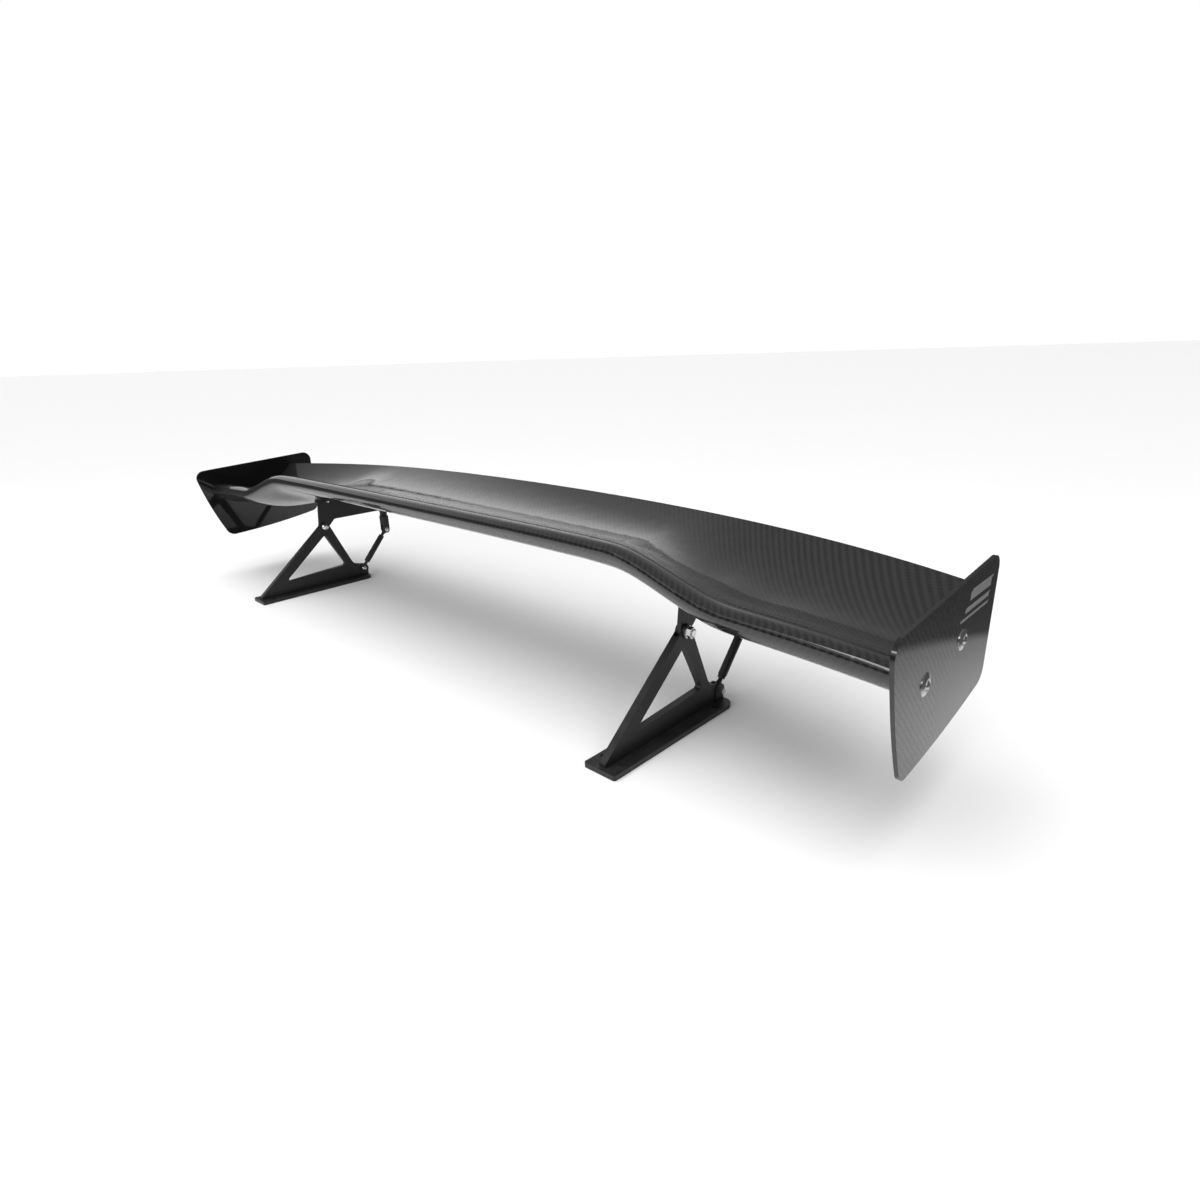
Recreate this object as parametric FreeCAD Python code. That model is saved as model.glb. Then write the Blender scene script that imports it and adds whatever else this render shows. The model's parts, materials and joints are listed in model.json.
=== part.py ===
"""Racing rear wing on two pedestals: millimetres, +X along the span, +Y to the rear, +Z up.

The origin is at the middle of the footprint, on the underside of the pedestal bases.
"left" is the car's left side, which is +X.
"""
import FreeCAD
import Part
import math
import os

V = FreeCAD.Vector

# ---- wing: a thin skin over two spars and two tip ribs --------------------------------------
HALF = 768.0              # half span, to the inner face of an endplate
NOSE_Y = (-97.7, -103.8)  # leading edge, (middle, outer panel)
NOSE_Z = (246.5, 36.0, 13.2)  # height at the middle, drop to the outer panel, and slow fall to the tip
TAIL_Y = (156.7, 7.4, -85.8)   # trailing edge, as c0 + c2 X^2 + c4 X^4 over the half span
TAIL_Z = (245.1, -26.6, 7.9)
CAMBER = (34.8, 48.5)     # depth of the mean line below the chord
THICK = (28.2, 29.1)
PEAK = 0.555              # where along the chord the camber is deepest
NOSE_STEP = (0.555, 0.776)  # where the nose drops from the middle to the outer panel
BELLY_STEP = (0.49, 0.66)    # where the camber changes
BLUNT, FULLNESS = 0.13, 3.0  # how far back the round nose reaches, and how square it is
SKIN = 1.4
TAIL_HALF = 0.9           # half thickness of the trailing edge
BOND = 0.06               # half the bond line between the two skins
GLUE = 0.2                # gap between a skin and what is bonded inside it
SPARS = ((-31.0, -25.0), (48.0, 53.0))
RIB_DEEP = 17.0
STATIONS = 28             # sections on each side of the middle
SKIN_END = 767.9

# ---- endplates ----------------------------------------------------------------------------
PLATE = 4.0
PLATE_CORNERS = ((-136.0, 232.2), (129.7, 249.6), (129.0, 108.3), (-85.7, 82.2))
PLATE_BULGE = (5.0, 4.0)  # how far the front and the lower edge bow outwards
PLATE_ROUND = 17.0
PLATE_BOLTS = ((-53.4, 168.0), (37.6, 182.0))
INSERT_R = 3.5

# ---- pedestals ----------------------------------------------------------------------------
PED_X = 469.5
WEB = 10.0
BASE_W, BASE_T = 48.0, 6.5
BASE_FRONT, BASE_REAR = -156.9, 82.4
BASE_HOLE_R = 4.25
BASE_HOLES_X, BASE_HOLES_Y = (-15.0, 15.0), (-132.0, 52.0)
WINDOW = ((-100.3, 29.4), (-3.4, 110.5), (34.8, 37.3))
WEB_OUTLINE = ((-151.0, 6.5), (-151.0, 11.5), (-112.5, 43.9), (-9.0, 130.5), (2.0, 134.0),
               (9.5, 128.5), (46.2, 46.0), (52.0, 36.0), (72.0, 29.5), (80.5, 20.0), (80.5, 6.5))
EAR_W = 13.0              # width over the two ears at the pivot and at the lower link bolt
PIVOT = (0.0, 127.0)
PIVOT_R, PIVOT_BOSS = 4.0, 9.4
LUG_W = 14.0

# ---- wing brackets ------------------------------------------------------------------------
BLADE = 6.2
SLOT = 6.4
RAIL_Z = 140.0
SADDLE_W, SADDLE_T = 28.0, 4.0
SADDLE_Y = (-5.0, 112.0)
SCREWS = ((-8.9, 12.0), (8.9, 12.0), (-8.9, 66.0), (8.9, 66.0))
BUSH_R = 5.6

# ---- links: two rod ends in a left-and-right-hand sleeve -----------------------------------
LINK_LOW = (73.6, 20.0)
LINK_TOP = (139.6, 95.0)
LINK_SLOT = 7.2
LINK_BOLT_R = 2.5
EYE_R, EYE_W = 8.2, 6.0
BALL_R, BALL_W = 5.55, 7.0
SHANK_R = 3.0
LOOSE = 0.3               # radial room in the sleeve, the lock nuts and the ball races
SLEEVE_R, SLEEVE_ENDS = 6.0, (20.0, 80.0)
LOCK_T, LOCK_AF = 3.5, 10.0
SHANK_ENDS = (40.0, 60.0)
LINK_LEN = math.hypot(LINK_TOP[0] - LINK_LOW[0], LINK_TOP[1] - LINK_LOW[1])
LINK_TILT = math.degrees(math.atan2(LINK_TOP[0] - LINK_LOW[0], LINK_TOP[1] - LINK_LOW[1]))


# ---- helpers ------------------------------------------------------------------------------
def save(shape, name):
    shape.exportStep("parts/" + name + ".step")


def step(t):
    t = max(0.0, min(1.0, t))
    return t * t * (3 - 2 * t)


def box(x0, x1, y0, y1, z0, z1):
    return Part.makeBox(x1 - x0, y1 - y0, z1 - z0, V(x0, y0, z0))


def rod_x(x0, x1, r, y, z):
    return Part.makeCylinder(r, x1 - x0, V(x0, y, z), V(1, 0, 0))


def sphere_x(r, x, y, z):
    """A sphere whose poles lie along X, so a bore along X removes them."""
    return Part.makeSphere(r, V(x, y, z), V(1, 0, 0), -90, 90, 360)


def hexagon_x(x0, x1, flats, y, z, turn=0.0):
    r = flats / math.sqrt(3)
    pts = [V(x0, y + r * math.cos(math.radians(60 * i + turn)), z + r * math.sin(math.radians(60 * i + turn)))
           for i in range(7)]
    return Part.Face(Part.makePolygon(pts)).extrude(V(x1 - x0, 0, 0))


def profile_x(points, x0, x1):
    pts = [V(x0, y, z) for y, z in points]
    return Part.Face(Part.makePolygon(pts + pts[:1])).extrude(V(x1 - x0, 0, 0))


def rounded(solid, centres, r):
    """Round the edges that run along X through the given (y, z) corners."""
    edges = [e for e in solid.Edges
             if abs(e.Vertexes[0].Y - e.Vertexes[-1].Y) < 1e-6 and abs(e.Vertexes[0].Z - e.Vertexes[-1].Z) < 1e-6
             and any(math.hypot(e.Vertexes[0].Y - y, e.Vertexes[0].Z - z) < 0.01 for y, z in centres)]
    return solid.makeFillet(r, edges)


def button_x(x, out, head_r, head_h, socket, y, z):
    """A domed head with a hex socket. It sits on the plane x and points along out."""
    dome = (head_r ** 2 + head_h ** 2) / (2 * head_h)
    ball = sphere_x(dome, x + out * (head_h - dome), y, z)
    x0, x1 = sorted((x, x + out * head_h))
    head = ball.common(rod_x(x0, x1, head_r, y, z))
    s0, s1 = sorted((x + out * head_h * 0.45, x + out * (head_h + 1)))
    return head.cut(hexagon_x(s0, s1, socket, y, z))


# ---- wing section -------------------------------------------------------------------------
def wing_at(x):
    """Nose, tail, camber and thickness at a station."""
    u = min(1.0, abs(x) / HALF)
    a, b = step((u - NOSE_STEP[0]) / (NOSE_STEP[1] - NOSE_STEP[0])), \
        step((u - BELLY_STEP[0]) / (BELLY_STEP[1] - BELLY_STEP[0]))

    def mix(pair, t):
        return pair[0] + (pair[1] - pair[0]) * t
    tail = [c[0] + c[1] * u ** 2 + c[2] * u ** 4 for c in (TAIL_Y, TAIL_Z)]
    nose_z = NOSE_Z[0] - NOSE_Z[1] * a - NOSE_Z[2] * u ** 4
    return (mix(NOSE_Y, a), nose_z), tail, mix(CAMBER, b), mix(THICK, a)


def half_thick(s, thick):
    """Half the depth of the section: a round nose, then a taper to the tail."""
    s = max(0.0, s)
    front = math.sqrt(1 - (1 - min(1.0, s / BLUNT)) ** FULLNESS)
    taper = 1 - max(0.0, (s - BLUNT) / (1 - BLUNT)) ** 1.5
    return thick / 2 * front * taper + TAIL_HALF * s


def curve(x, side, inner=False, inset=0.0, count=30):
    """(y, z) along one surface of the wing, from the nose to the tail. side is 1 on top, -1 below."""
    nose, tail, camber, thick = wing_at(x)
    dy, dz = tail[0] - nose[0], tail[1] - nose[1]
    wall = (SKIN + inset) / math.hypot(dy, dz) if inner else 0.0
    out = []
    for i in range(count):
        s = wall + (1 - wall) * (1 - math.cos(math.pi * i / (count - 1))) / 2
        if s < PEAK:
            sag, slope = (2 * PEAK * s - s * s) / PEAK ** 2, (2 * PEAK - 2 * s) / PEAK ** 2
        else:
            sag = (1 - 2 * PEAK + 2 * PEAK * s - s * s) / (1 - PEAK) ** 2
            slope = (2 * PEAK - 2 * s) / (1 - PEAK) ** 2
        ty, tz = dy, dz - camber * slope
        n = math.hypot(ty, tz)
        h = half_thick(s, thick)
        if inner:
            d = half_thick(s - wall, thick) - (SKIN + inset) * step((s - wall) / 0.06) - BOND
            h = BOND + (d + math.sqrt(d * d + 0.02)) / 2
        else:
            h = max(h, BOND)
        out.append((nose[0] + s * dy - side * tz / n * h, nose[1] + s * dz - camber * sag + side * ty / n * h))
    return out


def height(x, y, side, inset):
    """z of a wing surface above a given y. inset 0 is the outside; positive goes inwards."""
    pts = curve(x, side, inner=inset > 0, inset=inset - SKIN if inset > 0 else 0.0, count=60)
    pts = pts[6:]
    for (y0, z0), (y1, z1) in zip(pts, pts[1:]):
        if y0 <= y <= y1:
            z = z0 + (z1 - z0) * (y - y0) / (y1 - y0)
            return z
    return pts[-1][1]


def even(points):
    """A smooth curve whose parameters are evenly spaced over its points."""
    line = Part.BSplineCurve()
    line.interpolate(Points=points, Parameters=[i / (len(points) - 1) for i in range(len(points))])
    return line


def sheet(xs, lines):
    """One smooth face through a grid: lines holds the (y, z) points at each x."""
    across = [even([V(x, y, z) for y, z in line]) for x, line in zip(xs, lines)]
    along = [even([c.getPole(k) for c in across]) for k in range(1, across[0].NbPoles + 1)]
    face = Part.BSplineSurface()
    face.buildFromPolesMultsKnots([c.getPoles() for c in along],
                                  across[0].getMultiplicities(), along[0].getMultiplicities(),
                                  across[0].getKnots(), along[0].getKnots(), False, False,
                                  across[0].Degree, along[0].Degree)
    return face


def loft(xs, maker):
    """A solid between two sheets. maker(x) returns its lower and its upper line."""
    pairs = [maker(x) for x in xs]
    low, top = sheet(xs, [p[0] for p in pairs]), sheet(xs, [p[1] for p in pairs])
    faces = [low.toShape(), top.toShape()]
    for u in (0, 1):
        faces.append(Part.makeRuledSurface(low.uIso(u).toShape(), top.uIso(u).toShape()))
    for v in (0, 1):
        a, b = low.vIso(v), top.vIso(v)
        ends = [Part.makeLine(a.value(0), b.value(0)), Part.makeLine(a.value(1), b.value(1))]
        faces.append(Part.Face(Part.Wire(Part.__sortEdges__([a.toShape(), b.toShape()] + ends))))
    shell = Part.makeShell(faces)
    shell.sewShape()
    solid = Part.makeSolid(Part.Shell(shell.Faces))
    if solid.Volume < 0:
        solid.reverse()
    return solid


def span():
    return [SKIN_END * i / STATIONS for i in range(-STATIONS, STATIONS + 1)]


def skin(side):
    def lines(x):
        pair = [curve(x, side, inner=True), curve(x, side)]
        return pair if side > 0 else pair[::-1]
    return loft(span(), lines)


def filler(xs, y0, y1, inset, count):
    """A solid that fills the wing between two values of y, inset from the outside."""
    ys = [y0 + (y1 - y0) * i / (count - 1) for i in range(count)]
    return loft(xs, lambda x: ([(y, height(x, y, -1, inset)) for y in ys],
                               [(y, height(x, y, 1, inset)) for y in ys]))


def spar(y0, y1):
    xs = [x * (HALF - RIB_DEEP - 0.5) / SKIN_END for x in span()]
    return filler(xs, y0, y1, SKIN + GLUE, 4)


def tip_rib(side):
    xs = sorted(side * x for x in (HALF - RIB_DEEP, HALF - RIB_DEEP / 2, HALF - 0.1))
    rib = filler(xs, NOSE_Y[1] + 12, 66.0, SKIN + GLUE, 12)
    for y, z in PLATE_BOLTS:
        rib = rib.cut(rod_x(xs[0] - 1, xs[-1] + 1, INSERT_R + 0.05, y, z))
    return rib


def tip_inserts(side):
    x0, x1 = sorted((side * (HALF - 0.3), side * (HALF - RIB_DEEP + 2)))
    tubes = [rod_x(x0, x1, INSERT_R, y, z).cut(rod_x(x0 - 1, x1 + 1, 2.55, y, z)) for y, z in PLATE_BOLTS]
    return Part.makeCompound(tubes)


# ---- endplates ----------------------------------------------------------------------------
def bow(p, q, sag, x):
    """An edge from p to q that bows to the left of its direction by sag."""
    (y0, z0), (y1, z1) = p, q
    if not sag:
        return Part.makeLine(V(x, y0, z0), V(x, y1, z1))
    d = math.hypot(y1 - y0, z1 - z0)
    mid = V(x, (y0 + y1) / 2 - (z1 - z0) / d * sag, (z0 + z1) / 2 + (y1 - y0) / d * sag)
    return Part.Arc(V(x, y0, z0), mid, V(x, y1, z1)).toShape()


def endplate(side):
    x = side * HALF
    a, b, c, d = PLATE_CORNERS
    edges = [bow(a, b, 0, x), bow(b, c, 0, x), bow(c, d, PLATE_BULGE[1], x), bow(d, a, PLATE_BULGE[0], x)]
    plate = Part.Face(Part.Wire(edges)).extrude(V(side * PLATE, 0, 0))
    plate = rounded(plate, PLATE_CORNERS, PLATE_ROUND)
    for y, z in PLATE_BOLTS:
        plate = plate.cut(rod_x(-900, 900, 2.7, y, z))
    return plate


def endplate_washer(side, y, z):
    x = HALF + PLATE
    pts = [V(x, 0, 2.7), V(x, 0, 11), V(x + 0.7, 0, 11), V(x + 2.4, 0, 6.6), V(x + 2.4, 0, 5.6),
           V(x + 1.4, 0, 5.2), V(x + 1.4, 0, 2.7)]
    ring = Part.Face(Part.makePolygon(pts + pts[:1])).revolve(V(0, 0, 0), V(1, 0, 0), 360)
    if side < 0:
        ring = ring.mirror(V(0, 0, 0), V(1, 0, 0))
    ring.translate(V(0, y, z))
    return ring


def endplate_bolt(side, y, z):
    x = side * (HALF + PLATE + 1.4)
    x0, x1 = sorted((x, side * (HALF - RIB_DEEP + 3)))
    return button_x(x, side, 4.75, 2.75, 3.0, y, z).fuse(rod_x(x0, x1, 2.5, y, z))


# ---- pedestals ----------------------------------------------------------------------------
def pedestal(side):
    cx = side * PED_X
    web = profile_x(WEB_OUTLINE, cx - WEB / 2, cx + WEB / 2)
    web = rounded(web, (WEB_OUTLINE[2], WEB_OUTLINE[6], WEB_OUTLINE[7]), 12.0)
    web = web.fuse(rod_x(cx - EAR_W / 2, cx + EAR_W / 2, PIVOT_BOSS, *PIVOT))
    lug = rod_x(cx - LUG_W / 2, cx + LUG_W / 2, 9.5, *LINK_LOW)
    lug = lug.fuse(box(cx - LUG_W / 2, cx + LUG_W / 2, LINK_LOW[0] - 9.5, LINK_LOW[0] + 8, BASE_T, LINK_LOW[1]))
    base = box(cx - BASE_W / 2, cx + BASE_W / 2, BASE_FRONT, BASE_REAR, 0, BASE_T)
    for y, r in ((BASE_FRONT, 3.0), (BASE_REAR, 14.0)):
        corners = [e for e in base.Edges if abs(e.Vertexes[0].Z - e.Vertexes[-1].Z) > 1
                   and abs(e.Vertexes[0].Y - y) < 0.1]
        base = base.makeFillet(r, corners)
    body = base.fuse([web, lug]).removeSplitter()
    hole = profile_x(WINDOW, cx - 20, cx + 20)
    hole = rounded(hole, WINDOW, 4.0)
    body = body.cut(hole)
    body = body.cut(box(cx - SLOT / 2, cx + SLOT / 2, PIVOT[0] - 16, PIVOT[0] + 16, PIVOT[1] - 11.6, PIVOT[1] + 20))
    gap = LINK_SLOT / 2
    body = body.cut(box(cx - gap, cx + gap, LINK_LOW[0] - 12, LINK_LOW[0] + 20, LINK_LOW[1] - 10, LINK_LOW[1] + 20))
    body = body.cut(rod_x(cx - 20, cx + 20, PIVOT_R + 0.02, *PIVOT))
    body = body.cut(rod_x(cx - 20, cx + 20, LINK_BOLT_R + 0.02, *LINK_LOW))
    for dx in BASE_HOLES_X:
        for y in BASE_HOLES_Y:
            body = body.cut(Part.makeCylinder(BASE_HOLE_R, BASE_T + 2, V(cx + dx, y, -1)))
    return body


def pin_set(side, at, shank_r, half, head_r, head_h, socket, nut_af, nut_h, washer_r):
    """A cross bolt with its head inboard, and a washer and a nut outboard."""
    cx, (y, z), out = side * PED_X, at, side
    head_x = cx - out * half
    far = cx + out * half
    tip = far + out * (1.0 + nut_h + 1.6)
    x0, x1 = sorted((head_x, tip))
    bolt = button_x(head_x, -out, head_r, head_h, socket, y, z).fuse(rod_x(x0, x1, shank_r, y, z))
    w0, w1 = sorted((far, far + out * 1.0))
    washer = rod_x(w0, w1, washer_r, y, z).cut(rod_x(w0 - 1, w1 + 1, shank_r + 0.1, y, z))
    n0, n1 = sorted((far + out * 1.0, far + out * (1.0 + nut_h)))
    nut = hexagon_x(n0, n1, nut_af, y, z, 10).common(
        sphere_x(nut_af * 0.78, (n0 + n1) / 2, y, z)).cut(rod_x(n0 - 1, n1 + 1, shank_r + 0.05, y, z))
    return bolt, washer, nut


# ---- wing brackets ------------------------------------------------------------------------
def under(x, y, gap):
    return height(x, y, -1, 0.0) - gap


def saddle(side):
    """The pad of the bracket, which follows the underside of the wing."""
    xs = sorted(side * (PED_X + d) for d in (-SADDLE_W / 2, -SADDLE_W / 4, 0.0, SADDLE_W / 4, SADDLE_W / 2))
    ys = [SADDLE_Y[0] + (SADDLE_Y[1] - SADDLE_Y[0]) * i / 11 for i in range(12)]
    return loft(xs, lambda x: ([(y, under(x, y, GLUE + SADDLE_T)) for y in ys],
                               [(y, under(x, y, GLUE)) for y in ys]))


def screw_frame(side, dx, y):
    """Where a bracket screw meets the pad's lower face, and its direction into the wing."""
    x = side * PED_X + dx
    slope = (under(x, y + 2, 0) - under(x, y - 2, 0)) / 4
    n = V(0, -slope, 1).normalize()
    return V(x, y, under(x, y, 0)) - n * (GLUE + SADDLE_T), n


def bracket(side):
    cx = side * PED_X
    mid = GLUE + SADDLE_T * 0.6
    ys = [SADDLE_Y[0] + (SADDLE_Y[1] - SADDLE_Y[0]) * i / 11 for i in range(12)]
    top = [(y, under(cx, y, mid)) for y in ys]
    ty = LINK_TOP[0]
    low = [(ty + 7.0, 150.0), (ty + 7.0, LINK_TOP[1]), (ty - 7.0, LINK_TOP[1]), (ty - 7.0, RAIL_Z - 2),
           (ty - 14.0, RAIL_Z), (24.0, RAIL_Z), (10.5, PIVOT[1]), (-10.5, PIVOT[1])]
    blade = profile_x(top + [(ty - 4.0, under(cx, SADDLE_Y[1], mid) - 3.0)] + low, cx - BLADE / 2, cx + BLADE / 2)
    blade = rounded(blade, ((24.0, RAIL_Z), (ty - 7.0, RAIL_Z - 2)), 6.0)
    blade = blade.fuse(rod_x(cx - BLADE / 2, cx + BLADE / 2, 10.5, *PIVOT))
    fork = box(cx - LUG_W / 2, cx + LUG_W / 2, ty - 7.0, ty + 7.0, LINK_TOP[1], 126.0)
    fork = fork.fuse(rod_x(cx - LUG_W / 2, cx + LUG_W / 2, 7.0, *LINK_TOP))
    body = blade.fuse([fork, saddle(side)])
    gap = LINK_SLOT / 2
    body = body.cut(box(cx - gap, cx + gap, ty - 12, ty + 12, LINK_TOP[1] - 12, LINK_TOP[1] + 12.5))
    body = body.cut(rod_x(cx - 20, cx + 20, BUSH_R, *PIVOT))
    body = body.cut(rod_x(cx - 20, cx + 20, LINK_BOLT_R + 0.02, *LINK_TOP))
    for dx, y in SCREWS:
        p, n = screw_frame(side, dx, y)
        body = body.cut(Part.makeCylinder(2.2, 12, p - n * 2, n)).cut(Part.makeCylinder(4.1, 3.5, p - n * 3.5, n))
    return body


def bracket_screws(side):
    screws = []
    for dx, y in SCREWS:
        p, n = screw_frame(side, dx, y)
        head = Part.makeCylinder(3.6, 2.2, p - n * 2.2, n).cut(Part.makeCylinder(1.4, 1.3, p - n * 2.3, n))
        screws.append(head.fuse(Part.makeCylinder(2.0, 15.0, p, n)))
    return Part.makeCompound(screws)


def hard_point(side):
    xs = sorted(side * (PED_X + d) for d in (-20, -10, 0, 10, 20))
    block = filler(xs, SPARS[0][1] + 1.0, SPARS[1][0] - 1.0, SKIN + GLUE, 12)
    return drilled(block, side, 2.05)


def drilled(solid, side, r):
    for dx, y in SCREWS:
        p, n = screw_frame(side, dx, y)
        solid = solid.cut(Part.makeCylinder(r, 17.0, p - n * 1.0, n))
    return solid


def bush(side):
    x0, x1 = side * PED_X - BLADE / 2, side * PED_X + BLADE / 2
    return rod_x(x0, x1, BUSH_R, *PIVOT).cut(rod_x(x0 - 1, x1 + 1, PIVOT_R + 0.05, *PIVOT))


# ---- links --------------------------------------------------------------------------------
def on_link(shape, side, at=LINK_LOW):
    """Stand a shape made along +Z on the link's line, from one of its bolts."""
    shape.rotate(V(0, 0, 0), V(1, 0, 0), -LINK_TILT)
    shape.translate(V(side * PED_X, *at))
    return shape


def rod_end(side, top):
    out = -1 if top else 1
    length = LINK_LEN - SHANK_ENDS[1] if top else SHANK_ENDS[0]
    eye = Part.makeCylinder(EYE_R, EYE_W, V(-EYE_W / 2, 0, 0), V(1, 0, 0))
    eye = eye.fuse(Part.makeCone(4.6, 3.6, 4.5, V(0, 0, out * (EYE_R - 1.5)), V(0, 0, out)))
    eye = eye.fuse(Part.makeCylinder(SHANK_R, length - EYE_R + 1, V(0, 0, out * (EYE_R - 1)), V(0, 0, out)))
    eye = eye.common(Part.makeBox(EYE_W, 40, 200, V(-EYE_W / 2, -20, -100)))
    eye = eye.cut(sphere_x(BALL_R + LOOSE, 0, 0, 0))
    return on_link(eye, side, LINK_TOP if top else LINK_LOW)


def ball(side, at):
    x = side * PED_X
    body = sphere_x(BALL_R, x, *at).cut(rod_x(x - 9, x + 9, LINK_BOLT_R + 0.02, *at))
    return body.common(rod_x(x - BALL_W / 2, x + BALL_W / 2, 9, *at))


def lock_nut(side, top):
    z = SLEEVE_ENDS[1] + 0.05 if top else SLEEVE_ENDS[0] - LOCK_T - 0.05
    r = LOCK_AF / math.sqrt(3)
    pts = [V(r * math.cos(math.radians(60 * i)), r * math.sin(math.radians(60 * i)), z) for i in range(7)]
    nut = Part.Face(Part.makePolygon(pts)).extrude(V(0, 0, LOCK_T))
    nut = nut.common(Part.makeSphere(r * 1.02, V(0, 0, z + LOCK_T / 2)))
    return on_link(nut.cut(Part.makeCylinder(SHANK_R + LOOSE, LOCK_T + 2, V(0, 0, z - 1))), side)


def sleeve(side):
    z0, z1 = SLEEVE_ENDS
    mid = (z0 + z1) / 2
    body = Part.makeCylinder(SLEEVE_R, z1 - z0, V(0, 0, z0))
    ring = [e for e in body.Edges if e.Curve.TypeId == "Part::GeomCircle"]
    body = body.makeChamfer(0.8, ring)
    flats = Part.makeBox(20, 20, 12, V(-10, 5.0, mid - 6))
    for turn in (0, 180):
        cut = flats.copy()
        cut.rotate(V(0, 0, 0), V(0, 0, 1), turn)
        body = body.cut(cut)
    groove = Part.makeCylinder(SLEEVE_R + 1, 1.2, V(0, 0, z1 - 7)).cut(
        Part.makeCylinder(SLEEVE_R - 0.5, 1.2, V(0, 0, z1 - 7)))
    body = body.cut(groove)     # marks the end with the left-hand thread
    return on_link(body.cut(Part.makeCylinder(SHANK_R + LOOSE, z1 - z0 + 2, V(0, 0, z0 - 1))), side)


# ---- build --------------------------------------------------------------------------------
def build_wing():
    save(skin(1), "upper_skin")
    lower = skin(-1)
    for side in (1, -1):
        lower = drilled(lower, side, 2.2)
    save(lower, "lower_skin")
    save(spar(*SPARS[0]), "front_spar")
    save(spar(*SPARS[1]), "rear_spar")


def build_side(side, name):
    save(tip_rib(side), "tip_rib_" + name)
    save(tip_inserts(side), "tip_inserts_" + name)
    save(endplate(side), "endplate_" + name)
    for end, at in zip(("front", "rear"), PLATE_BOLTS):
        save(endplate_washer(side, *at), "endplate_washer_%s_%s" % (end, name))
        save(endplate_bolt(side, *at), "endplate_bolt_%s_%s" % (end, name))
    save(pedestal(side), "pedestal_" + name)
    save(bracket(side), "wing_bracket_" + name)
    save(bracket_screws(side), "bracket_screws_" + name)
    save(hard_point(side), "hard_point_" + name)
    save(bush(side), "pivot_bush_" + name)
    for part, shape in zip(("bolt", "washer", "nut"),
                           pin_set(side, PIVOT, PIVOT_R, EAR_W / 2, 7.0, 4.4, 5.0, 13.0, 6.5, 8.0)):
        save(shape, "pivot_%s_%s" % (part, name))
    for end, at in (("lower", LINK_LOW), ("upper", LINK_TOP)):
        for part, shape in zip(("bolt", "washer", "nut"),
                               pin_set(side, at, LINK_BOLT_R, LUG_W / 2, 4.75, 2.75, 3.0, 8.0, 4.7, 5.0)):
            if part != "washer":
                save(shape, "link_%s_%s_%s" % (part, end, name))
        save(ball(side, at), "link_ball_%s_%s" % (end, name))
        save(rod_end(side, end == "upper"), "rod_end_%s_%s" % (end, name))
        save(lock_nut(side, end == "upper"), "lock_nut_%s_%s" % (end, name))
    save(sleeve(side), "sleeve_" + name)


def main():
    os.makedirs("parts", exist_ok=True)
    build_wing()
    build_side(1, "left")
    build_side(-1, "right")


main()
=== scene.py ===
"""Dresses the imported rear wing: woven laminate, anodised pedestals, threads, locking rings and stripes.

It is laid out as a Blender add-on and runs as a script.
"""

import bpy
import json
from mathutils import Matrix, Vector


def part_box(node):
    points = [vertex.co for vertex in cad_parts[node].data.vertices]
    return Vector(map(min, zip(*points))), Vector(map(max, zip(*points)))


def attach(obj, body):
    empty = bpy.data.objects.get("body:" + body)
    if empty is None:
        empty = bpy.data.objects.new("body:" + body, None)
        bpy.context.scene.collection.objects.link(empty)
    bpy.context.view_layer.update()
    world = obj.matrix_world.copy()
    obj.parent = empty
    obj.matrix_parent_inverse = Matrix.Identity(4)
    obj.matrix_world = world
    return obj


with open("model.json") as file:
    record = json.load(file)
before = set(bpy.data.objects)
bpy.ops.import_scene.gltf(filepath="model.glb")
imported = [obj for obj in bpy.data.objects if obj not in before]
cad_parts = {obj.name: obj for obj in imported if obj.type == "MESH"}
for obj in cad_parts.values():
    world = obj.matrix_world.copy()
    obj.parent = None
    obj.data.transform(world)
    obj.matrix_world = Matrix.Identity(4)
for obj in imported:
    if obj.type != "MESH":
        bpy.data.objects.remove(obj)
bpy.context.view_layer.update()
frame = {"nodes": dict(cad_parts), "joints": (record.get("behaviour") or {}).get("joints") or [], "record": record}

import json
import math

import bpy
from mathutils import Matrix, Vector

bl_info = {
    "name": "Racing Rear Wing Dressing",
    "version": (1, 0, 0),
    "blender": (4, 5, 0),
    "location": "3D View > Sidebar > Rear Wing",
    "description": "Finishes and small parts for a racing rear wing on two pedestals",
    "category": "Object",
}

SIDES = (("left", 1), ("right", -1))

# Lengths are in metres.
SMOOTH_ANGLE = math.radians(32)
THREAD_START = 0.0103        # from the rod end's pivot to the first thread
THREAD_LENGTH = 0.0290
THREAD_SIDES = 28
# Each cross-bolt nut, the body it belongs to, and the radius of the hole in its nylon ring.
CROSS_NUTS = (("pivot_nut_", "pedestals", 0.0042),
              ("link_nut_lower_", "pedestals", 0.0026),
              ("link_nut_upper_", "wing", 0.0026))
RING_REACH = 0.80            # outer radius of a ring as a share of its nut's half height
RING_SIDES = 40
RING_CROWN, RING_SHOULDER = 1.25, 0.80   # heights of its dome and of its outer edge, as shares
# Each film stripe: the y and z of its middle, its length and its height.
STRIPES = ((0.076, 0.2245, 0.062, 0.0105),
           (0.070, 0.2110, 0.070, 0.0050),
           (0.065, 0.2025, 0.082, 0.0025))
STRIPE_SLANT = 0.6           # how far the upper edge leans, as a share of the height
FILM = 0.00012
FILM_LIFT = 0.00003          # between the plate and its film
BUMP_WEAVE, BUMP_GRAIN = 0.00012, 0.0001
CAMERA_PLACE = (0.95542, -0.65065, 0.44795)
CAMERA_RIGHT = (0.72674, 0.68629, -0.02908)
CAMERA_UP = (-0.20400, 0.25607, 0.94489)
CAMERA_AHEAD = (-0.65592, 0.68076, -0.32610)
LENS, SENSOR = 21.17, 36.0   # millimetres, as the camera takes them
WHITE = (1.0, 1.0, 1.0, 1.0)
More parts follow.
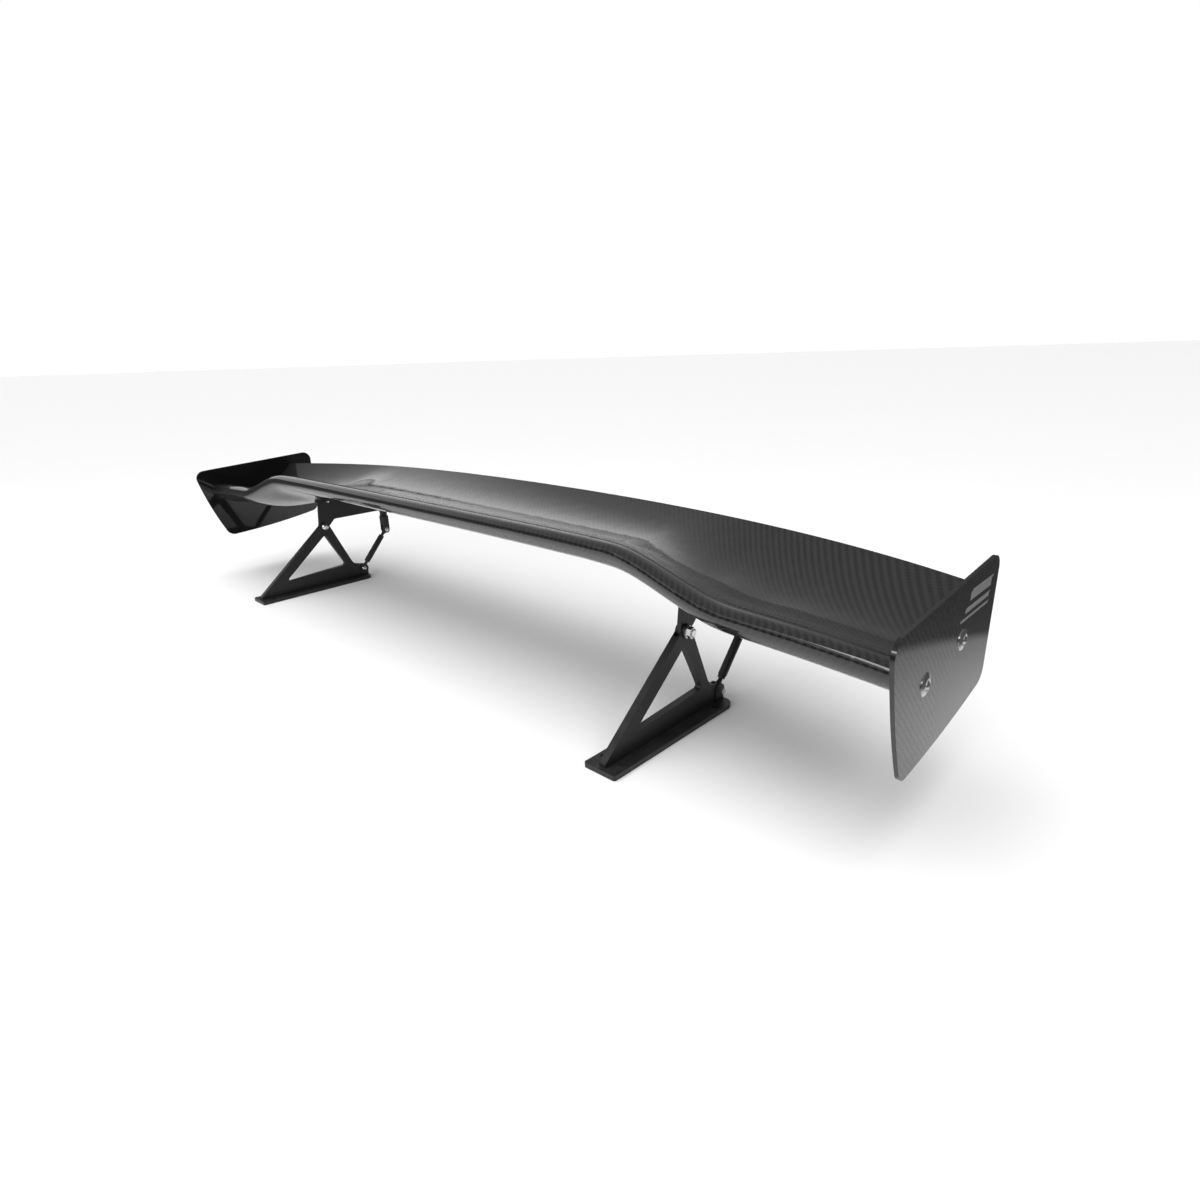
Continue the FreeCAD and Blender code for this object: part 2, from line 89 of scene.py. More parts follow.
# The mirrored studio. A wall's foot and top are given by the z of the direction looked in.
WALL_FOOT, WALL_TOP = (0.13, 0.19), (0.33, 0.62)
WALL_SIDE = (0.05, 0.45)     # from dark to bright, towards -X
WALL_SKEW = 0.25             # how far the bright side turns towards the front
SWEEP_FALL = (0.72, 1.05)    # where the mirrored floor fades, as shares of the lit sweep
SWEEP_EDGE = 1.03            # where it has gone dark
# Painted shade: the colours the floor turns to where it mirrors, first grey and then dark, beyond the lit sweep.
FLOOR_PAINTED_DIM, FLOOR_PAINTED_UNLIT = (0.26, 0.26, 0.265, 1.0), (0.05, 0.05, 0.05, 1.0)
OVERHEAD_TURN = (math.radians(12), math.radians(-10), 0)
OVERHEAD_SPREAD = math.radians(70)
# Each soft box: its place, aim, size, and its share of the front box's power.
SOFT_BOXES = (("Front box", (0.4, -2.4, 1.5), (0.0, 0.0, 0.15), (2.4, 0.5), 1.0),
              ("Near box", (2.4, -0.9, 1.3), (0.5, 0.0, 0.15), (0.9, 0.9), 0.4))
SLOTS = {entry["node"]: entry["material_slot"] for entry in frame["record"]["subparts"]}


# ---- small helpers --------------------------------------------------------------------------
def centre(node):
    low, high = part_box(node)
    return [(a + b) / 2 for a, b in zip(low, high)]


def joint(name):
    return next(j for j in frame["joints"] if j["name"] == name)


def deselect():
    if bpy.context.object and bpy.context.object.mode != "OBJECT":
        bpy.ops.object.mode_set(mode="OBJECT")
    bpy.ops.object.select_all(action="DESELECT")


def fresh(name):
    """Names the new primitive and returns it."""
    obj = bpy.context.active_object
    obj.name = obj.data.name = name
    return obj


def settle(obj, matrix=None):
    """Puts a piece in place and leaves its object at the origin, unturned."""
    deselect()
    obj.select_set(True)
    bpy.context.view_layer.objects.active = obj
    if matrix is not None:
        obj.matrix_world = matrix
    bpy.ops.object.transform_apply(location=True, rotation=True, scale=True)
    deselect()
    return obj


def outward(obj):
    """Merges doubles and turns every face outwards."""
    deselect()
    obj.select_set(True)
    bpy.context.view_layer.objects.active = obj
    bpy.ops.object.mode_set(mode="EDIT")
    bpy.ops.mesh.select_all(action="SELECT")
    bpy.ops.mesh.remove_doubles(threshold=1e-6)
    bpy.ops.mesh.normals_make_consistent(inside=False)
    bpy.ops.object.mode_set(mode="OBJECT")
    bpy.ops.object.shade_smooth_by_angle(angle=SMOOTH_ANGLE)


def copy_of(obj, name):
    twin = obj.copy()
    twin.data = obj.data.copy()
    twin.name = twin.data.name = name
    bpy.context.collection.objects.link(twin)
    return twin


def dress(obj, material):
    obj.data.materials.clear()
    obj.data.materials.append(material)


# ---- node groups ----------------------------------------------------------------------------
class Tree:
    """Short calls for building a node tree."""

    def __init__(self, tree):
        self.tree = tree

    def node(self, kind, **settings):
        new = self.tree.nodes.new(kind)
        for key, value in settings.items():
            setattr(new, key, value)
        return new

    def link(self, a, b):
        self.tree.links.new(a, b)

    def put(self, value, socket):
        if isinstance(value, bpy.types.NodeSocket):
            self.link(value, socket)
        else:
            socket.default_value = value

    def math(self, operation, a, b=0.0):
        new = self.node("ShaderNodeMath", operation=operation)
        self.put(a, new.inputs[0])
        self.put(b, new.inputs[1])
        return new.outputs[0]

    def mix(self, factor, a, b):
        new = self.node("ShaderNodeMix", data_type="RGBA")
        self.put(factor, new.inputs["Factor"])
        self.put(a, new.inputs["A"])
        self.put(b, new.inputs["B"])
        return new.outputs["Result"]

    def noise(self, vector, scale, detail=2.0, rough=0.5):
        new = self.node("ShaderNodeTexNoise")
        self.put(vector, new.inputs["Vector"])
        self.put(scale, new.inputs["Scale"])
        new.inputs["Detail"].default_value = detail
        new.inputs["Roughness"].default_value = rough
        return new.outputs["Fac"]

    def ramp(self, value, low, high):
        new = self.node("ShaderNodeMapRange", clamp=True)
        self.put(value, new.inputs["Value"])
        self.put(low, new.inputs["From Min"])
        self.put(high, new.inputs["From Max"])
        return new.outputs["Result"]


def group(name, ins, outs):
    """A shader node group with named sockets. Returns it with its input and output nodes."""
    new = bpy.data.node_groups.new(name, "ShaderNodeTree")
    for label, kind, default in ins:
        socket = new.interface.new_socket(name=label, in_out="INPUT", socket_type="NodeSocket" + kind)
        if default is not None:
            socket.default_value = default
    for label, kind in outs:
        new.interface.new_socket(name=label, in_out="OUTPUT", socket_type="NodeSocket" + kind)
    t = Tree(new)
    return new, t, t.node("NodeGroupInput"), t.node("NodeGroupOutput")


def twill_group():
    """Two-over, two-under weave. Across and Along are lengths in metres."""
    new, t, i, o = group("Twill weave", [("Across", "Float", 0.0), ("Along", "Float", 0.0),
                                         ("Tow width", "Float", 0.002)],
                         [("Warp mask", "Float"), ("Height", "Float"), ("Painted sheen", "Float")])
    u = t.math("DIVIDE", i.outputs["Across"], i.outputs["Tow width"])
    v = t.math("DIVIDE", i.outputs["Along"], i.outputs["Tow width"])
    column, row = t.math("FLOOR", u), t.math("FLOOR", v)
    phase = t.math("FLOORED_MODULO", t.math("ADD", column, row), 4.0)
    warp = t.math("LESS_THAN", phase, 2.0)
    du = t.math("SUBTRACT", t.math("MULTIPLY", t.math("FRACT", u), 2.0), 1.0)
    dv = t.math("SUBTRACT", t.math("MULTIPLY", t.math("FRACT", v), 2.0), 1.0)
    hump_u = t.math("SUBTRACT", 1.0, t.math("MULTIPLY", du, du))
    hump_v = t.math("SUBTRACT", 1.0, t.math("MULTIPLY", dv, dv))
    height = t.math("ADD", t.math("MULTIPLY", hump_u, warp),
                    t.math("MULTIPLY", hump_v, t.math("SUBTRACT", 1.0, warp)))
    fibre = t.node("ShaderNodeTexNoise")
    place = t.node("ShaderNodeCombineXYZ")
    t.link(t.math("MULTIPLY", u, t.math("ADD", t.math("MULTIPLY", warp, 5.5), 0.5)), place.inputs[0])
    t.link(t.math("MULTIPLY", v, t.math("SUBTRACT", 6.0, t.math("MULTIPLY", warp, 5.5))), place.inputs[1])
    t.link(place.outputs[0], fibre.inputs["Vector"])
    fibre.inputs["Scale"].default_value = 1.0
    # Painted highlight: the crown of each tow, streaked by the fibre noise, is lighter in the colour and its edges
    # darker, in place of real reflection.
    painted_sheen = t.math("MULTIPLY", height, t.math("ADD", 0.7, t.math("MULTIPLY", fibre.outputs["Fac"], 0.6)))
    t.link(warp, o.inputs["Warp mask"])
    t.link(height, o.inputs["Height"])
    t.link(painted_sheen, o.inputs["Painted sheen"])
    return new


def grain_group():
    """Fine grain and faint cloudiness for worked metal, with handling marks."""
    new, t, i, o = group("Metal grain", [("Vector", "Vector", None), ("Grain scale", "Float", 1500.0),
                                         ("Stretch", "Vector", (1.0, 1.0, 1.0)), ("Cloud", "Float", 0.5)],
                         [("Grain", "Float"), ("Cloudiness", "Float"), ("Marks", "Float")])
    stretch = t.node("ShaderNodeVectorMath", operation="MULTIPLY")
    t.link(i.outputs["Vector"], stretch.inputs[0])
    t.link(i.outputs["Stretch"], stretch.inputs[1])
    t.link(t.noise(stretch.outputs[0], i.outputs["Grain scale"], 3.0, 0.6), o.inputs["Grain"])
    cloud = t.noise(i.outputs["Vector"], 28.0, 3.0, 0.55)
    t.link(t.math("MULTIPLY", cloud, i.outputs["Cloud"]), o.inputs["Cloudiness"])
    scratch = t.noise(stretch.outputs[0], 210.0, 5.0, 0.75)
    t.link(t.ramp(scratch, 0.66, 0.74), o.inputs["Marks"])
    return new


def dust_group():
    """A thin film that gathers on faces that look up."""
    new, t, i, o = group("Dust film", [("Vector", "Vector", None), ("Amount", "Float", 0.1)],
                         [("Film", "Float")])
    geometry = t.node("ShaderNodeNewGeometry")
    split = t.node("ShaderNodeSeparateXYZ")
    t.link(geometry.outputs["Normal"], split.inputs[0])
    up = t.ramp(split.outputs["Z"], 0.2, 1.0)
    patch = t.ramp(t.noise(i.outputs["Vector"], 60.0, 4.0, 0.6), 0.35, 0.75)
    t.link(t.math("MULTIPLY", t.math("MULTIPLY", up, patch), i.outputs["Amount"]), o.inputs["Film"])
    return new


# ---- materials ------------------------------------------------------------------------------
def blank(name):
    """A material with a Principled shader and its Object coordinates."""
    material = bpy.data.materials.new(name)
    material.use_nodes = True
    t = Tree(material.node_tree)
    shader = material.node_tree.nodes["Principled BSDF"]
    coords = t.node("ShaderNodeTexCoord").outputs["Object"]
    return material, t, shader, coords


def use(t, node_group, **values):
    new = t.node("ShaderNodeGroup", node_tree=node_group)
    for key, value in values.items():
        t.put(value, new.inputs[key.replace("_", " ")])
    return new


def bump(t, shader, height, strength, distance):
    new = t.node("ShaderNodeBump")
    new.inputs["Strength"].default_value = strength
    new.inputs["Distance"].default_value = distance
    t.link(height, new.inputs["Height"])
    t.link(new.outputs["Normal"], shader.inputs["Normal"])


def laminate(name, groups, finish, axes, coat_rough, depth=1.0, relief=0.12, wrap=0.0):
    """Woven laminate under clear coat.

    axes names the two coordinates the cloth lies along, depth darkens its fibres, relief is how far the
    weave shows in the surface, and wrap carries the cloth on round faces that turn towards Z.
    """
    material, t, shader, coords = blank(name)
    split = t.node("ShaderNodeSeparateXYZ")
    t.link(coords, split.inputs[0])
    along = t.math("SUBTRACT", split.outputs[axes[1]], t.math("MULTIPLY", split.outputs["Z"], wrap))
    weave = use(t, groups["twill"], Across=split.outputs[axes[0]], Along=along,
                Tow_width=finish.tow_width)
    # Painted reflection: warp tows run from the fibre colour up to the lighter warp sheen colour and weft tows
    # from half the fibre colour up to it. The lighter tows and crowns are painted highlight, and the weft's
    # half-dark edges are painted shade.
    dark, light = [(*[c * depth for c in shade], 1.0) for shade in (finish.fibre_dark, finish.warp_painted_sheen)]
    weft = t.mix(weave.outputs["Painted sheen"], (*[c * 0.5 for c in dark[:3]], 1.0), dark)
    warp = t.mix(weave.outputs["Painted sheen"], dark, light)
    base = t.mix(weave.outputs["Warp mask"], weft, warp)
    film = use(t, groups["dust"], Vector=coords, Amount=0.05)
    t.link(t.mix(film.outputs["Film"], base, (0.10, 0.10, 0.095, 1.0)), shader.inputs["Base Color"])
    wave = t.noise(coords, 9.0, 1.0)
    rough = t.math("ADD", 0.36, t.math("MULTIPLY", weave.outputs["Warp mask"], 0.12))
    t.link(t.math("ADD", rough, t.math("MULTIPLY", wave, 0.05)), shader.inputs["Roughness"])
    shader.inputs["Specular IOR Level"].default_value = 0.18
    shader.inputs["Coat Weight"].default_value = 1.0
    shader.inputs["Coat Roughness"].default_value = coat_rough
    shader.inputs["Coat IOR"].default_value = 1.52
    bump(t, shader, weave.outputs["Height"], relief, BUMP_WEAVE)
    return material


def metal(name, groups, colour, rough, metallic, stretch, scale, depth=0.08, dust=0.06):
    """Worked metal with grain, faint clouds and handling marks."""
    material, t, shader, coords = blank(name)
    grain = use(t, groups["grain"], Vector=coords, Grain_scale=scale, Stretch=stretch, Cloud=1.0)
    marks = [min(1.0, c * 1.6 + 0.02) for c in colour]
    deep = [c * 0.78 for c in colour]
    base = t.mix(grain.outputs["Cloudiness"], (*deep, 1.0), (*colour, 1.0))
    base = t.mix(t.math("MULTIPLY", grain.outputs["Marks"], 0.35), base, (*marks, 1.0))
    film = use(t, groups["dust"], Vector=coords, Amount=dust)
    t.link(t.mix(film.outputs["Film"], base, (0.35, 0.34, 0.32, 1.0)), shader.inputs["Base Color"])
    value = t.math("ADD", rough - 0.06, t.math("MULTIPLY", grain.outputs["Grain"], 0.12))
    t.link(value, shader.inputs["Roughness"])
    shader.inputs["Metallic"].default_value = metallic
    bump(t, shader, grain.outputs["Grain"], depth, BUMP_GRAIN)
    return material


def foam(name):
    """Closed-cell foam."""
    material, t, shader, coords = blank(name)
    cells = t.node("ShaderNodeTexVoronoi")
    t.link(coords, cells.inputs["Vector"])
    cells.inputs["Scale"].default_value = 700.0
    t.link(t.mix(cells.outputs["Distance"], (0.40, 0.34, 0.22, 1.0), (0.66, 0.58, 0.42, 1.0)),
           shader.inputs["Base Color"])
    rough = t.math("ADD", 0.75, t.math("MULTIPLY", cells.outputs["Distance"], 0.15))
    t.link(rough, shader.inputs["Roughness"])
    bump(t, shader, cells.outputs["Distance"], 0.5, 0.0004)
    return material


def vinyl(name, colour):
    """Printed film with a faint cloud."""
    material, t, shader, coords = blank(name)
    cloud = t.noise(coords, 120.0, 3.0)
    t.link(t.mix(cloud, (*[c * 0.86 for c in colour], 1.0), (*colour, 1.0)), shader.inputs["Base Color"])
    t.link(t.math("ADD", 0.3, t.math("MULTIPLY", cloud, 0.1)), shader.inputs["Roughness"])
    return material


def nylon(name, colour):
    """Slightly milky plastic."""
    material, t, shader, coords = blank(name)
    cloud = t.noise(coords, 900.0, 2.0)
    t.link(t.mix(cloud, (*[c * 0.8 for c in colour], 1.0), (*colour, 1.0)), shader.inputs["Base Color"])
    t.link(t.math("ADD", 0.42, t.math("MULTIPLY", cloud, 0.1)), shader.inputs["Roughness"])
    shader.inputs["Subsurface Weight"].default_value = 0.05
    return material


def library(scene):
    """Builds every finish once."""
    if "Twill weave" in bpy.data.node_groups:
        return {m.name: m for m in bpy.data.materials}
    groups = {"twill": twill_group(), "grain": grain_group(), "dust": dust_group()}
    lam, met = scene.wing_laminate, scene.wing_metal
    made = [
        laminate("Wing cloth", groups, lam, "XY", lam.coat_rough, relief=0.05, wrap=0.5),
        laminate("Endplate cloth", groups, lam, "YZ", lam.plate_rough, depth=0.12, relief=0.0),
        foam("Structural foam"),
        metal("Black anodised", groups, met.anodised, 0.42, 0.35, (1, 1, 1), 1800.0),
        metal("Machined aluminium", groups, (0.72, 0.72, 0.74), 0.32, 1.0, (0.15, 1, 1), 900.0),
        metal("Stainless", groups, met.stainless, 0.26, 1.0, (0.2, 1, 1), 2500.0, dust=0.0),
        metal("Black zinc", groups, (0.055, 0.055, 0.06), 0.34, 0.9, (1, 1, 1), 2200.0),
        metal("Ground ball", groups, (0.82, 0.82, 0.84), 0.10, 1.0, (1, 1, 1), 3000.0,
              depth=0.02, dust=0.0),
        metal("Turned brass", groups, (0.72, 0.52, 0.22), 0.25, 1.0, (0.2, 1, 1), 1800.0, dust=0.0),
        vinyl("Stripe film", scene.wing_details.stripe_colour),
        nylon("Nylon", (0.75, 0.76, 0.78)),
    ]
    return {m.name: m for m in made}


FINISH = {"carbon_skin": "Wing cloth", "carbon_plate": "Endplate cloth", "foam_core": "Structural foam",
          "black_aluminium": "Black anodised", "plain_aluminium": "Machined aluminium",
          "stainless": "Stainless", "black_steel": "Black zinc", "ball_steel": "Ground ball",
          "brass": "Turned brass"}


# ---- settings -------------------------------------------------------------------------------
class WingLaminate(bpy.types.PropertyGroup):
    tow_width: bpy.props.FloatProperty(
        name="Tow width", description="Width of one tow of the cloth", default=0.0021, min=0.0005,
        unit="LENGTH")
    fibre_dark: bpy.props.FloatVectorProperty(
        name="Weft colour", description="Fibres that run across", default=(0.0045, 0.0045, 0.005),
        subtype="COLOR")
    # The lighter warp colour is a painted reflection of the weave; the fibres themselves are all the same black.
    warp_painted_sheen: bpy.props.FloatVectorProperty(
        name="Warp painted sheen", description="Fibres that run along", default=(0.017, 0.0174, 0.0185),
        subtype="COLOR")
    coat_rough: bpy.props.FloatProperty(
        name="Wing coat", description="Roughness of the clear coat on the wing", default=0.06,
        subtype="FACTOR")
    plate_rough: bpy.props.FloatProperty(
        name="Plate coat", description="Roughness of the coat on the endplates", default=0.04,
        subtype="FACTOR")


class WingMetal(bpy.types.PropertyGroup):
    anodised: bpy.props.FloatVectorProperty(
        name="Anodised", description="Colour of pedestals and brackets", default=(0.022, 0.022, 0.023),
        subtype="COLOR")
    stainless: bpy.props.FloatVectorProperty(
        name="Stainless", description="Colour of the fasteners", default=(0.86, 0.86, 0.87),
        subtype="COLOR")


class WingDetails(bpy.types.PropertyGroup):
    thread_crest: bpy.props.FloatProperty(
        name="Thread crest", description="Radius over the thread", default=0.00315, unit="LENGTH")
    thread_root: bpy.props.FloatProperty(
        name="Thread root", description="Radius at the bottom of the thread", default=0.00275,
        unit="LENGTH")
    pitch: bpy.props.FloatProperty(
        name="Pitch", description="Distance from one thread to the next", default=0.001, unit="LENGTH")
    ring_height: bpy.props.FloatProperty(
        name="Ring height", description="Height of a nut's nylon ring", default=0.0009, unit="LENGTH")
    stripe_colour: bpy.props.FloatVectorProperty(
        name="Stripes", description="Colour of the endplate stripes", default=(0.42, 0.42, 0.43),
        subtype="COLOR")


class WingStage(bpy.types.PropertyGroup):
    floor_size: bpy.props.FloatProperty(
        name="Floor", description="Width of the floor", default=400.0, unit="LENGTH")
    sweep: bpy.props.FloatProperty(
        name="Lit sweep", description="Radius of the lit part of the floor that mirrors", default=1.02,
        unit="LENGTH")
    floor_colour: bpy.props.FloatVectorProperty(
        name="Floor colour", description="Pale floor", default=(0.88, 0.88, 0.88), subtype="COLOR")
    overhead: bpy.props.FloatProperty(
        name="Overhead light", description="Strength of the broad light", default=2.3)
    front_box: bpy.props.FloatProperty(
        name="Front box", description="Power of the front soft box", default=26.0)
    bright_wall: bpy.props.FloatProperty(
        name="Bright wall", description="Level of the lit side wall", default=0.95)
    dark_wall: bpy.props.FloatProperty(
        name="Dark wall", description="Level of the unlit side", default=0.06)
    ceiling: bpy.props.FloatProperty(name="Ceiling", description="Level overhead", default=0.42)


# ---- operators ------------------------------------------------------------------------------
class WING_OT_finishes(bpy.types.Operator):
    """Give every CAD node its finish"""
    bl_idname = "wing.finishes"
    bl_label = "Finishes"

    def execute(self, context):
        made = library(context.scene)
        for name, obj in frame["nodes"].items():
            dress(obj, made[FINISH[SLOTS[name]]])
        return {"FINISHED"}


class WING_OT_threads(bpy.types.Operator):
    """Cut threads on the four rod-end shanks"""
    bl_idname = "wing.threads"
    bl_label = "Rod-end threads"

    def execute(self, context):
        made = library(context.scene)
        d = context.scene.wing_details
        deselect()
        bpy.ops.mesh.primitive_circle_add(vertices=THREAD_SIDES, radius=d.thread_root, location=(0, 0, 0))
        rod = fresh("thread")
        bpy.ops.object.mode_set(mode="EDIT")
        bpy.ops.mesh.select_all(action="SELECT")
        bpy.ops.mesh.edge_face_add()
        grow = d.thread_crest / d.thread_root
        for _ in range(round(THREAD_LENGTH / d.pitch)):
            for scale in (grow, 1.0, 1.0 / grow, 1.0):
                bpy.ops.mesh.extrude_region_move(TRANSFORM_OT_translate={"value": (0, 0, d.pitch / 4)})
                if scale != 1.0:
                    bpy.ops.transform.resize(value=(scale, scale, 1.0))
        bpy.ops.object.mode_set(mode="OBJECT")
        outward(rod)
        for side, _ in SIDES:
            for end in ("lower", "upper"):
                hinge = joint("link_swing_%s_%s" % (end, side))
                other = joint("link_swing_%s_%s" % ("upper" if end == "lower" else "lower", side))
                start, stop = Vector(hinge["pos_m"]), Vector(other["pos_m"])
                turn = (stop - start).to_track_quat("Z", "Y").to_matrix().to_4x4()
                piece = copy_of(rod, "thread_%s_%s" % (end, side))
                place = Matrix.Translation(start + (stop - start).normalized() * THREAD_START) @ turn
                settle(piece, place)
                dress(piece, made["Black zinc"])
                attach(piece, "link_%s_%s" % (end, side))
        bpy.data.objects.remove(rod)
        return {"FINISHED"}


class WING_OT_rings(bpy.types.Operator):
    """Add the nylon locking ring to each of the six cross-bolt nuts"""
    bl_idname = "wing.rings"
    bl_label = "Nylon rings"

    def execute(self, context):
        made = library(context.scene)
        height = context.scene.wing_details.ring_height
        models = {}
        for side, sign in SIDES:
            for nut, body, hole in CROSS_NUTS:
                low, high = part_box(nut + side)
                if hole not in models:
                    models[hole] = self.model(hole, RING_REACH * (high[2] - low[2]) / 2, height)
                ring = copy_of(models[hole], "nylon_ring_" + nut.replace("_nut_", "_") + side)
                x = high[0] if sign > 0 else low[0]
                y, z = centre(nut + side)[1:]
                turn = Matrix.Rotation(math.radians(90 * sign), 4, "Y")
                settle(ring, Matrix.Translation((x, y, z)) @ turn)
                dress(ring, made["Nylon"])
                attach(ring, body)
        for model in models.values():
            bpy.data.objects.remove(model)
        return {"FINISHED"}

    @staticmethod
    def model(hole, outer, height):
        """One ring with a domed top, standing on the origin along Z."""
        deselect()
        bpy.ops.mesh.primitive_circle_add(vertices=RING_SIDES, radius=hole, location=(0, 0, 0))
        ring = fresh("nylon_ring")
        bpy.ops.object.mode_set(mode="EDIT")
        bpy.ops.mesh.select_all(action="SELECT")
        crown = (hole + outer) / 2
        for rise, now, radius in ((1.0, hole, hole), (RING_CROWN - 1.0, hole, crown),
                                  (RING_SHOULDER - RING_CROWN, crown, outer),
                                  (-RING_SHOULDER, outer, outer), (0.0, outer, hole)):
            bpy.ops.mesh.extrude_region_move(TRANSFORM_OT_translate={"value": (0, 0, rise * height)})
            bpy.ops.transform.resize(value=(radius / now, radius / now, 1.0))
        bpy.ops.object.mode_set(mode="OBJECT")
        outward(ring)
        return ring


class WING_OT_stripes(bpy.types.Operator):
    """Lay three film stripes with slanted ends on the outside of each endplate"""
    bl_idname = "wing.stripes"
    bl_label = "Endplate stripes"

    def execute(self, context):
        made = library(context.scene)
        models = [self.model(long, tall) for _, _, long, tall in STRIPES]
        for side, sign in SIDES:
            low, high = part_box("endplate_" + side)
            x = (high[0] if sign > 0 else low[0]) + sign * FILM_LIFT
            turn = Matrix(((0, 0, sign, 0), (1, 0, 0, 0), (0, 1, 0, 0), (0, 0, 0, 1)))
            for number, (y, z, _, _) in enumerate(STRIPES):
                stripe = copy_of(models[number], "endplate_stripe_%d_%s" % (number + 1, side))
                settle(stripe, Matrix.Translation((x, y, z)) @ turn)
                outward(stripe)
                dress(stripe, made["Stripe film"])
                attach(stripe, "wing")
        for model in models:
            bpy.data.objects.remove(model)
        return {"FINISHED"}

    @staticmethod
    def model(long, tall):
        """One stripe lying flat, with its upper edge slid along."""
        deselect()
        bpy.ops.mesh.primitive_plane_add(size=1.0, location=(0, 0, 0))
        stripe = fresh("endplate_stripe")
        bpy.ops.object.mode_set(mode="EDIT")
        bpy.ops.mesh.select_all(action="SELECT")
        bpy.ops.transform.resize(value=(long, tall, 1.0))
        bpy.ops.mesh.subdivide(number_cuts=2)
        bpy.ops.mesh.select_all(action="DESELECT")
        bpy.ops.object.mode_set(mode="OBJECT")
        for v in stripe.data.vertices:
            v.select = v.co.y > tall * 0.49
        bpy.ops.object.mode_set(mode="EDIT")
        bpy.ops.transform.translate(value=(tall * STRIPE_SLANT, 0, 0))
        bpy.ops.object.mode_set(mode="OBJECT")
        wall = stripe.modifiers.new("Film", "SOLIDIFY")
        wall.thickness, wall.offset = FILM, 1.0
        bpy.ops.object.modifier_apply(modifier=wall.name)
        return stripe


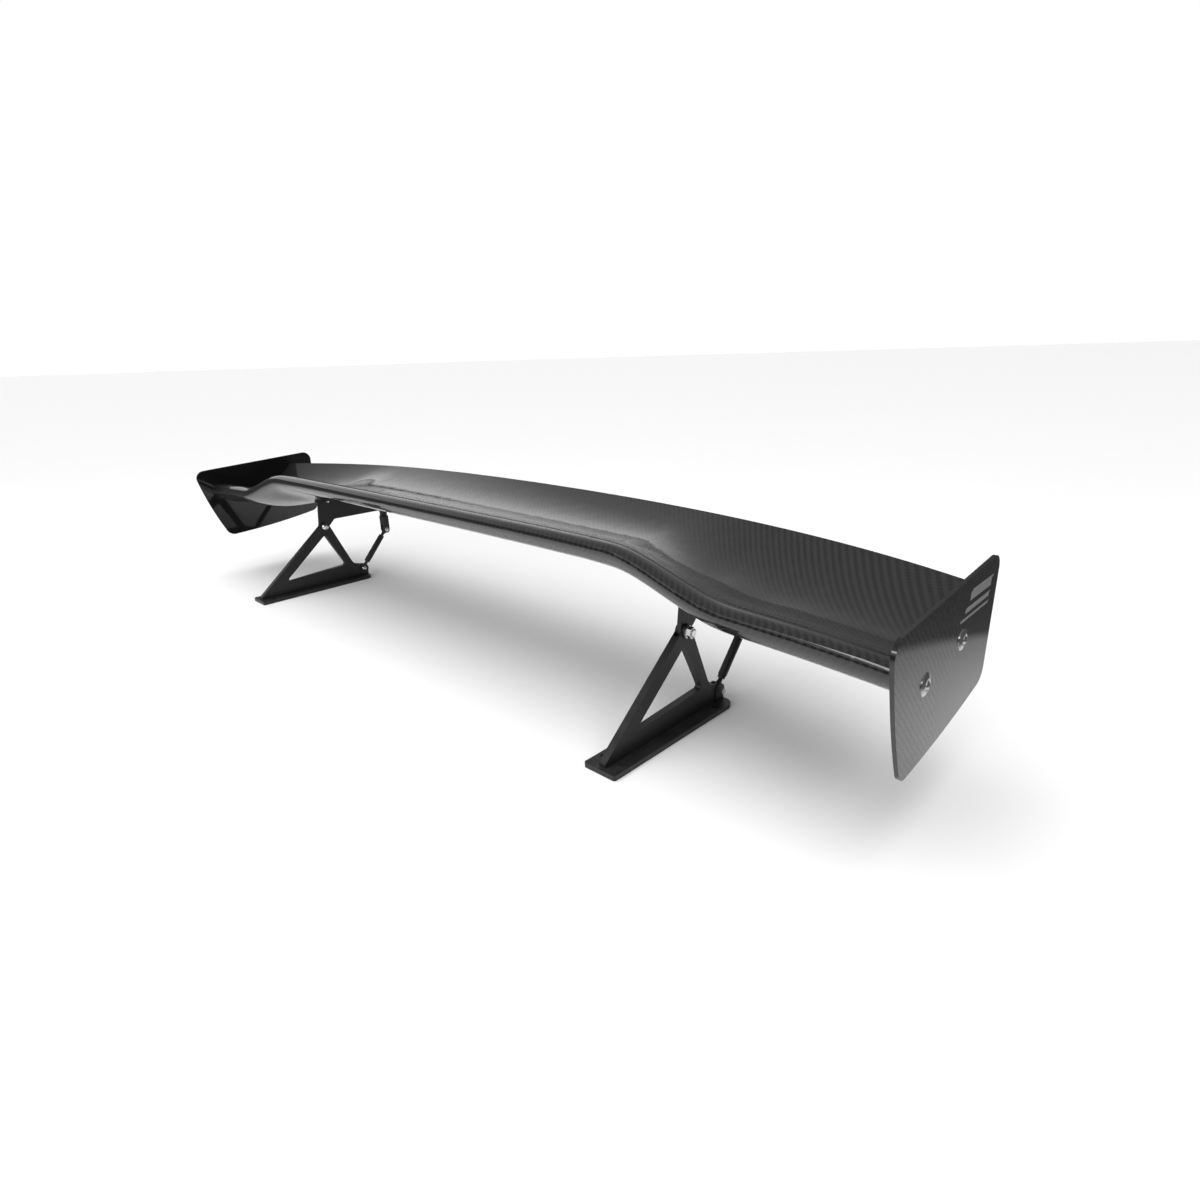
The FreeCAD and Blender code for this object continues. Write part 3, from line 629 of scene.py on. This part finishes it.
class WING_OT_stage(bpy.types.Operator):
    """Set the floor, the lights and the camera"""
    bl_idname = "wing.stage"
    bl_label = "Stage"

    def execute(self, context):
        scene, s = context.scene, context.scene.wing_stage
        self.floor(s)
        self.sky(scene, s)
        self.lights(context, s)
        self.camera(context)
        return {"FINISHED"}

    @staticmethod
    def floor(s):
        """A pale sweep. What mirrors in the wing is only the lit part around it."""
        deselect()
        bpy.ops.mesh.primitive_plane_add(size=s.floor_size, location=(0, 0, 0))
        floor = fresh("floor")
        material, t, shader, coords = blank("Pale floor")
        cloud = t.noise(coords, 3.0, 2.0)
        pale = t.mix(cloud, (*[c * 0.985 for c in s.floor_colour], 1.0), (*s.floor_colour, 1.0))
        # Painted shade for what the wing mirrors: the floor is coloured grey, then dark, with distance from the
        # middle, while the camera sees it evenly pale.
        away = t.node("ShaderNodeVectorMath", operation="LENGTH")
        t.link(coords, away.inputs[0])
        fall = t.ramp(away.outputs["Value"], *[s.sweep * share for share in SWEEP_FALL])
        fading = t.mix(fall, pale, FLOOR_PAINTED_DIM)
        gone = t.ramp(away.outputs["Value"], s.sweep, s.sweep * SWEEP_EDGE)
        lit = t.mix(gone, fading, FLOOR_PAINTED_UNLIT)
        seen = t.node("ShaderNodeLightPath").outputs["Is Camera Ray"]
        t.link(t.mix(seen, lit, pale), shader.inputs["Base Color"])
        shader.inputs["Roughness"].default_value = 0.9
        dress(floor, material)

    @staticmethod
    def sky(scene, s):
        """White where it is looked at, and a bright side wall under a grey ceiling where it mirrors."""
        world = bpy.data.worlds.new("Studio")
        world.use_nodes = True
        scene.world = world
        w = Tree(world.node_tree)
        back = world.node_tree.nodes["Background"]
        split = w.node("ShaderNodeSeparateXYZ")
        w.link(w.node("ShaderNodeTexCoord").outputs["Generated"], split.inputs[0])
        x, y, z = split.outputs
        height = w.ramp(z, *WALL_TOP)
        rise = w.ramp(z, *WALL_FOOT)
        across = w.math("SUBTRACT", w.math("MULTIPLY", x, -1.0), w.math("MULTIPLY", y, WALL_SKEW))
        side = w.ramp(across, *WALL_SIDE)
        wall = w.mix(w.math("MULTIPLY", side, rise), (*[s.dark_wall] * 3, 1.0),
                     (*[s.bright_wall] * 3, 1.0))
        grey = w.mix(height, wall, (*[s.ceiling] * 3, 1.0))
        seen = w.node("ShaderNodeLightPath").outputs["Is Camera Ray"]
        w.link(w.mix(seen, grey, WHITE), back.inputs["Color"])
        back.inputs["Strength"].default_value = 1.0

    @staticmethod
    def lights(context, s):
        """One broad overhead sun for the floor, and two soft boxes."""
        data = bpy.data.lights.new("Overhead", "SUN")
        data.energy, data.angle = s.overhead, OVERHEAD_SPREAD
        high = bpy.data.objects.new("Overhead", data)
        high.rotation_euler = OVERHEAD_TURN
        high.visible_glossy = False
        context.collection.objects.link(high)
        for name, place, aim, size, share in SOFT_BOXES:
            data = bpy.data.lights.new(name, "AREA")
            data.shape, data.energy = "RECTANGLE", s.front_box * share
            data.size, data.size_y = size
            light = bpy.data.objects.new(name, data)
            light.location = place
            light.rotation_euler = (Vector(aim) - Vector(place)).to_track_quat("-Z", "Y").to_euler()
            context.collection.objects.link(light)

    @staticmethod
    def camera(context):
        data = bpy.data.cameras.new("Camera")
        data.lens, data.sensor_width, data.clip_start = LENS, SENSOR, 0.01
        camera = bpy.data.objects.new("Camera", data)
        camera.matrix_world = Matrix.Translation(CAMERA_PLACE) @ Matrix(
            [(CAMERA_RIGHT[i], CAMERA_UP[i], -CAMERA_AHEAD[i], 0.0) for i in range(3)] + [(0, 0, 0, 1)])
        context.collection.objects.link(camera)
        context.scene.camera = camera
        context.scene.view_settings.view_transform = "Standard"


class WING_PT_panel(bpy.types.Panel):
    """Every step and its settings"""
    bl_idname = "WING_PT_panel"
    bl_label = "Rear Wing"
    bl_space_type = "VIEW_3D"
    bl_region_type = "UI"
    bl_category = "Rear Wing"

    def draw(self, context):
        scene = context.scene
        for settings, operators in (
                (scene.wing_laminate, ["wing.finishes"]), (scene.wing_metal, []),
                (scene.wing_details, ["wing.threads", "wing.rings", "wing.stripes"]),
                (scene.wing_stage, ["wing.stage"])):
            column = self.layout.column(align=True)
            for name in settings.__annotations__:
                column.prop(settings, name)
            for operator in operators:
                column.operator(operator)


GROUPS = {"wing_laminate": WingLaminate, "wing_metal": WingMetal, "wing_details": WingDetails,
          "wing_stage": WingStage}
OPERATORS = (WING_OT_finishes, WING_OT_threads, WING_OT_rings, WING_OT_stripes, WING_OT_stage)


def register():
    for cls in (*GROUPS.values(), *OPERATORS, WING_PT_panel):
        bpy.utils.register_class(cls)
    for name, cls in GROUPS.items():
        setattr(bpy.types.Scene, name, bpy.props.PointerProperty(type=cls))


def unregister():
    for name in GROUPS:
        delattr(bpy.types.Scene, name)
    for cls in reversed((*GROUPS.values(), *OPERATORS, WING_PT_panel)):
        bpy.utils.unregister_class(cls)


def main():
    register()
    bpy.ops.wing.finishes()
    bpy.ops.wing.threads()
    bpy.ops.wing.rings()
    bpy.ops.wing.stripes()
    bpy.ops.wing.stage()
    deselect()


if __name__ == "__main__":
    main()
